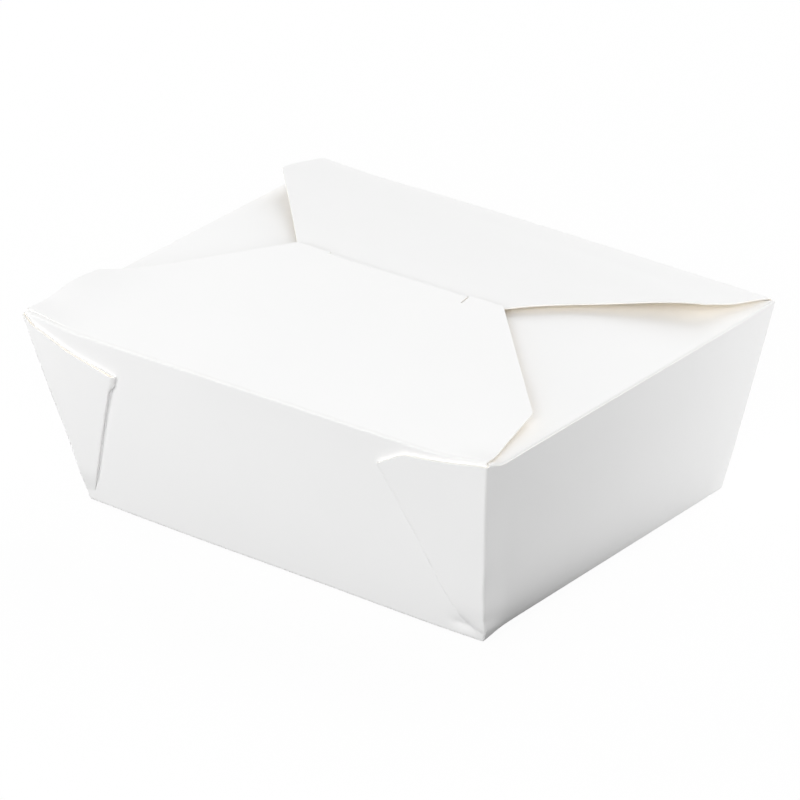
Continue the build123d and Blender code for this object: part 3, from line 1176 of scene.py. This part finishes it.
@dataclass
class FrontFlap:
    """Front lid flap with its tongue, on the hinge.

    Attributes:
        sizes: The carton's sizes.
        lid: The flaps' outlines.
        finishes: The skins of the board.
        tongue_half: Half width of the tongue.
        right_cut: Width of the cut on the tongue's right, which stands a little open.
        left_cut: Width of the cut on its left, which is shut.
        cut_reach: Where the cuts beside the tongue begin, along the flap.
        tongue_bend: Bend radius of the tongue's middle surface.
        tongue_depth: How far the tongue hangs below the flap.
        tip_cut: Length of the corner cut off the tongue's tip.
        columns: Number of columns across the tongue, and on each side of it.
        sprung_edge: How the flap's left side springs up and out before its shoulder.
    """

    sizes: CartonSizes
    lid: LidSizes
    finishes: BoardFinishes
    tongue_half: float = 26.52
    right_cut: float = 0.6
    left_cut: float = 0.06
    cut_reach: float = 66.8
    tongue_bend: float = 1.2
    tongue_depth: float = 10.0
    tip_cut: float = 4.0
    columns: int = 25
    sprung_edge: Dent = Dent((-86.0, -50.0, 66.0), (-3.0, 0.0, 2.0), (10.0, 16.0, 10.0))

    def placed(self, x: np.ndarray, along: np.ndarray | float, off: np.ndarray | float = 0.0) -> np.ndarray:
        """Points of the flap's own frame, put on the hinge at the flap's slope.

        Args:
            x: Places along the hinge.
            along: Distances from the hinge along the flap.
            off: Distances off the flap's middle surface.

        Returns:
            The points in the carton's frame.
        """
        slope = math.radians(self.lid.slope)
        y = -self.sizes.fold_long + along * math.cos(slope) - off * math.sin(slope)
        z = self.sizes.height + along * math.sin(slope) + off * math.cos(slope)
        return grid(x, y, z)

    def half(self, along: np.ndarray) -> np.ndarray:
        """Half length of the flap: straight to the shoulder, then the diagonal with its rounded corner.

        Args:
            along: Distances from the hinge.

        Returns:
            The half length at each place.
        """
        lid = self.lid
        to_shoulder = lid.root_half + (lid.shoulder_half - lid.root_half) * (along / lid.shoulder_reach)
        draw = (lid.shoulder_half - lid.edge_half) / (lid.edge_reach - lid.shoulder_reach)
        root = lid.shoulder_half + draw * lid.shoulder_reach
        diagonal = rounded_half(along, root, draw, lid.edge_reach, lid.corner_radius)
        return np.minimum(to_shoulder, diagonal)

    def tongue_columns(self) -> np.ndarray:
        """Places of the columns across the tongue."""
        return np.linspace(-self.tongue_half, self.tongue_half, self.columns)

    def panel(self, along: np.ndarray) -> np.ndarray:
        """Grid of the flat flap: fixed columns over the tongue, and even ones from its cuts to the sides.

        Args:
            along: Distances of the rows from the hinge.

        Returns:
            Points of the middle surface.
        """
        inner, share = self.tongue_columns(), np.linspace(0.0, 1.0, self.columns)
        half = self.half(along)[:, None]
        starts = (self.tongue_half + self.left_cut, self.tongue_half + self.right_cut)
        left, right = (start + share[None, :] * (half - start) for start in starts)
        middle = np.broadcast_to(inner, (len(along), len(inner)))
        return self.placed(np.concatenate([-left[:, ::-1], middle, right], axis=1), along[:, None])

    def tongue_points(self) -> np.ndarray:
        """Grid of the tongue: along the flap to its bend, a quarter turn, then down to the chamfered tip.

        The part that hangs down lies on a circle about the hinge, so that it leaves the slit as it swings.

        Returns:
            Points of the middle surface.
        """
        bend, straight = self.tongue_bend, self.tongue_depth - self.tip_cut
        root = self.lid.edge_reach - bend
        flat = stations((self.cut_reach, root, 6))
        turn = np.linspace(0.0, math.pi / 2, 10)[1:]
        down = stations((bend, straight, 8), (straight, self.tongue_depth, 8))[1:]
        swing = math.hypot(self.lid.edge_reach, bend)
        along = np.concatenate([flat, root + bend * np.sin(turn), np.sqrt(swing**2 - down**2)])
        off = np.concatenate([0.0 * flat, -bend * (1.0 - np.cos(turn)), -down])
        narrow = np.clip(-off - straight, 0.0, None)
        x = self.tongue_columns()[None, :] * (1.0 - narrow / self.tongue_half)[:, None]
        return self.placed(x, along[:, None], off[:, None])

    def build(self) -> bpy.types.Object:
        """Builds the flap as one piece that stands for the front flap's node.

        Returns:
            The finished piece.
        """
        lid = self.lid
        sheet = BoardSheet(self.sizes.board, (*self.sizes.dents, self.sprung_edge))
        main_runs = (lid.root_reach, lid.shoulder_reach, 16), (lid.shoulder_reach, self.cut_reach, 24)
        sheet.add(self.panel(stations(*main_runs)), flip=True)
        round_start = lid.edge_reach - lid.corner_radius
        beside = self.panel(stations((self.cut_reach, round_start, 4), (round_start, lid.edge_reach, 8)))
        sheet.add(beside[:, : self.columns], flip=True)
        sheet.add(beside[:, -self.columns :], flip=True)
        sheet.add(self.tongue_points(), flip=True)
        piece = sheet.build("front_flap_sheet", self.finishes)
        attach(piece, "front_flap")
        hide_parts("front_flap")
        return piece


@dataclass
class FrontCrease:
    """The scored strip between the front wall and the front flap.

    Attributes:
        flap: The front flap that it joins.
        lap: How far the strip runs on over each panel.
        bead: How much the crushed crease is thicker than the board.
        turn_start: How far behind the fold line the strip would begin to turn with the flap; not used.
        columns: Number of columns along the fold.
        steps: Number of steps across the fold.
    """

    flap: FrontFlap
    lap: float = 0.5
    bead: float = 0.03
    turn_start: float = 0.42
    columns: int = 61
    steps: int = 10

    def build(self) -> bpy.types.Object:
        """Builds the strip: rows up the wall's last stretch, round the crease and on to the flap.

        Returns:
            The finished piece.
        """
        sizes, lid = self.flap.sizes, self.flap.lid
        x = np.linspace(-lid.root_half, lid.root_half, self.columns)
        out, z = sizes.long_wall.at(np.array([1.0 - self.lap / sizes.height, 1.0]))
        wall = grid(x, -out[:, None], z[:, None])
        reach = np.array([lid.root_reach, lid.root_reach + self.lap])
        flap = self.flap.placed(x, reach[:, None])
        fold = grid(x, -sizes.fold_long, sizes.height)
        rows = np.concatenate([wall[:1], crease_rows(wall[1], fold, flap[0], self.steps), flap[1:]])
        # The crease takes the fold colour across its rounding: wear and painted shade.
        crease_wear_and_shade = np.zeros(rows.shape[:2])
        crease_wear_and_shade[1:-1] = half_wave(len(rows) - 2)
        sheet = BoardSheet(sizes.board + self.bead, sizes.dents)
        sheet.add(rows, flip=True, fold=crease_wear_and_shade)
        piece = sheet.build("front_crease", self.flap.finishes)
        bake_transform(piece)
        return piece


@dataclass
class PhotoCamera:
    """Long-lens camera at the photograph's viewing angle.

    Attributes:
        azimuth: Turn about Z from the front, in degrees.
        elevation: Height over the horizon, in degrees.
        roll: Turn about the view axis, in degrees.
        distance: Distance from the target, in millimetres.
        target: Point at the middle of the image, in millimetres.
        lens: Focal length in millimetres.
        sensor: Width of the sensor in millimetres.
        clip: Nearest and farthest distance that it sees, in metres.
    """

    azimuth: float = 39.359
    elevation: float = 25.941
    roll: float = -1.606
    distance: float = 1811.3
    target: tuple[float, float, float] = (-0.98, 0.0, 31.37)
    lens: float = 270.0
    sensor: float = 36.0
    clip: tuple[float, float] = (0.05, 50.0)

    def build(self) -> bpy.types.Object:
        """Places the camera with axes right, up and back worked out from the three angles.

        Returns:
            The camera.
        """
        turn, rise, roll = (math.radians(a) for a in (self.azimuth, self.elevation, self.roll))
        back = np.array([math.sin(turn) * math.cos(rise), -math.cos(turn) * math.cos(rise), math.sin(rise)])
        level = np.array([math.cos(turn), math.sin(turn), 0.0])
        upright = np.cross(back, level)
        right = math.cos(roll) * level + math.sin(roll) * upright
        up = math.cos(roll) * upright - math.sin(roll) * level
        place = (np.array(self.target) + back * self.distance) * MILLIMETRE
        data = bpy.data.cameras.new("photo_camera")
        data.sensor_width, data.lens = self.sensor, self.lens
        data.clip_start, data.clip_end = self.clip
        camera = put_in_scene("photo_camera", data, standing(right, up, back, place))
        bpy.context.scene.camera = camera
        return camera


@dataclass(frozen=True)
class SoftLamp:
    """A soft lamp that faces a point over the carton's base.

    Attributes:
        name: Lamp's name.
        place: Where it stands, in metres.
        size: Width and height, in metres.
        power: Power in watts.
        aim: Point that it faces, in metres.
    """

    name: str
    place: tuple[float, float, float]
    size: tuple[float, float]
    power: float
    aim: tuple[float, float, float] = (0.0, 0.0, 0.04)

    def build(self) -> bpy.types.Object:
        """Places the lamp with its back axis pointing away from its aim.

        Returns:
            The lamp.
        """
        back = unit(np.array(self.place) - np.array(self.aim))
        right = unit(np.cross((0.0, 0.0, 1.0), back))
        data = bpy.data.lights.new(self.name, "AREA")
        data.shape, data.energy = "RECTANGLE", self.power
        data.size, data.size_y = self.size
        place = np.array(self.place)
        lamp = put_in_scene(self.name, data, standing(right, np.cross(back, right), back, place))
        lamp.visible_camera = False
        return lamp


@dataclass
class Studio:
    """Pale floor, soft lamps and a plain white surround.

    Attributes:
        ambient: Strength of the white surround's light.
        floor_colour: Grey of the floor as the camera sees it.
        floor_bounce: Grey of the floor, in front and behind, for the light that it throws on the object.
        bounce_reach: Where the front grey ends and the back one begins, along Y in metres.
        bounces: Times that light may bounce, enough to carry it into the gaps between white flaps.
        floor_half: Half size of the floor, in metres.
        floor_drop: How far the floor lies under the base, in metres.
        floor_white: Share of the floor that the camera sees as plain white.
        lamps: The soft lamps.
    """

    ambient: float = 0.32
    floor_colour: float = 0.95
    floor_bounce: tuple[float, float] = (0.1, 0.75)
    bounce_reach: tuple[float, float] = (-0.05, 0.09)
    bounces: int = 16
    floor_half: float = 3.0
    floor_drop: float = 0.0002
    floor_white: float = 0.94
    lamps: tuple[SoftLamp, ...] = (
        SoftLamp("front_soft", (0.594, -1.028, 0.569), (0.9, 0.9), 10.6),
        SoftLamp("key_left", (-0.4, -0.5, 0.11), (0.3, 0.2), 1.45),
        SoftLamp("left_high", (-1.0, 0.3, 0.49), (0.6, 0.6), 3.9),
        SoftLamp("top_soft", (-0.1, 1.1, 1.1), (1.2, 1.2), 9.5),
        SoftLamp("fill_right", (0.4, 0.32, 0.165), (0.3, 0.3), 0.72),
    )

    @staticmethod
    def seen(tree: bpy.types.NodeTree) -> bpy.types.NodeSocket:
        """Adds the nodes that are 1 for camera, glossy and transmission rays.

        Args:
            tree: Node tree to add to.

        Returns:
            The socket that carries the result.
        """
        path = add_node(tree, "LightPath", {})
        rays = {0: path["Is Camera Ray"], 1: path["Is Glossy Ray"]}
        rays = {0: add_node(tree, "Math", rays, operation="MAXIMUM")[0], 1: path["Is Transmission Ray"]}
        return add_node(tree, "Math", rays, operation="MAXIMUM")[0]

    def surround(self) -> None:
        """White world: full white to the camera, and the ambient strength to everything else."""
        world = bpy.data.worlds.new("white_surround")
        bpy.context.scene.world = world
        world.use_nodes = True
        tree = world.node_tree
        ends = {"To Min": self.ambient, "To Max": 1.0}
        strength = add_node(tree, "MapRange", {"Value": self.seen(tree), **ends})["Result"]
        feed(tree, tree.nodes["Background"], {"Color": (1.0, 1.0, 1.0, 1.0), "Strength": strength})

    def floor_material(self) -> bpy.types.Material:
        """Matt grey that differs in front and behind for bounced light, under plain white for the camera.

        Returns:
            The floor's material.
        """
        material = bpy.data.materials.new("floor_white")
        material.use_nodes = True
        tree = material.node_tree
        tree.nodes.remove(tree.nodes["Principled BSDF"])
        seen = self.seen(tree)
        place = add_node(tree, "TexCoord", {})["Object"]
        along = add_node(tree, "SeparateXYZ", {"Vector": place})["Y"]
        names = ("From Min", "From Max", "To Min", "To Max")
        ends = dict(zip(names, self.bounce_reach + self.floor_bounce))
        bounce = add_node(tree, "MapRange", {"Value": along, **ends})["Result"]
        ends = {"A": bounce, "B": (*[self.floor_colour] * 3, 1.0)}
        grey = add_node(tree, "Mix", {"Factor": seen, **ends}, data_type="RGBA")["Result"]
        matt = add_node(tree, "BsdfDiffuse", {"Color": grey})["BSDF"]
        white = add_node(tree, "Emission", {"Color": (1.0, 1.0, 1.0, 1.0)})["Emission"]
        share = add_node(tree, "Math", {0: seen, 1: self.floor_white}, operation="MULTIPLY")[0]
        mix = add_node(tree, "MixShader", {"Fac": share, 1: matt, 2: white})["Shader"]
        feed(tree, tree.nodes["Material Output"], {"Surface": mix})
        return material

    def floor(self) -> bpy.types.Object:
        """Pale matt floor, mostly plain white to the camera so that only a faint shadow shows.

        Returns:
            The floor.
        """
        edge = np.linspace(-self.floor_half, self.floor_half, 3)
        vertices = grid(edge[None, :], edge[:, None], -self.floor_drop).reshape(-1, 3)
        cells = grid_cells(np.arange(edge.size**2).reshape(edge.size, edge.size))[..., ::-1]
        mesh = new_mesh("floor", vertices, cells.reshape(-1, 4))
        mesh.materials.append(self.floor_material())
        floor = put_in_scene("floor", mesh)
        return floor

    def build(self) -> None:
        """Sets the view transform and adds the surround, the floor and the lamps."""
        scene = bpy.context.scene
        scene.view_settings.view_transform = "Standard"
        scene.cycles.diffuse_bounces = scene.cycles.max_bounces = self.bounces
        self.surround()
        self.floor()
        for lamp in self.lamps:
            lamp.build()


def main() -> None:
    """Builds the carton and its studio in order."""
    logging.basicConfig(level=logging.INFO, format="%(name)s: %(message)s")
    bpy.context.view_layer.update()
    sizes, lid, finishes = CartonSizes(), LidSizes(), BoardFinishes()
    flap = FrontFlap(sizes, lid, finishes)
    for part in (CartonSheet(sizes, lid, finishes), flap, FrontCrease(flap)):
        piece = part.build()
        LOG.info("built %s", piece.name)
    Studio().build()
    PhotoCamera().build()


if __name__ == "__main__":
    main()
